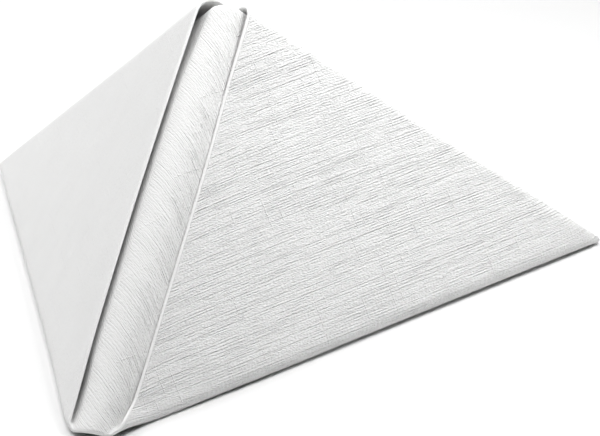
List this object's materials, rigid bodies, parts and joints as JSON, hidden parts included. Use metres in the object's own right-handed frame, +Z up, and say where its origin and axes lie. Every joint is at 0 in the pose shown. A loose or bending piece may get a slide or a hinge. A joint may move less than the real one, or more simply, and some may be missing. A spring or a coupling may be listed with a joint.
{
  "type": "paper napkin",
  "caption": "White linen-embossed paper napkin folded from one square sheet into a standing pyramid, with two flaps beside a rounded ridge and an open back.",
  "frame": {"origin": "middle of the footprint's box on the table", "axes": "+Z up, the ridge's nose towards -Y and the open back towards +Y, +X across to the right-hand wall"},
  "size_m": [0.1936, 0.1806, 0.0876],
  "materials": {
    "paper": "matt white embossed paper"
  },
  "bodies": {
    "root": {"napkin": "paper"}
  },
  "joints": []
}
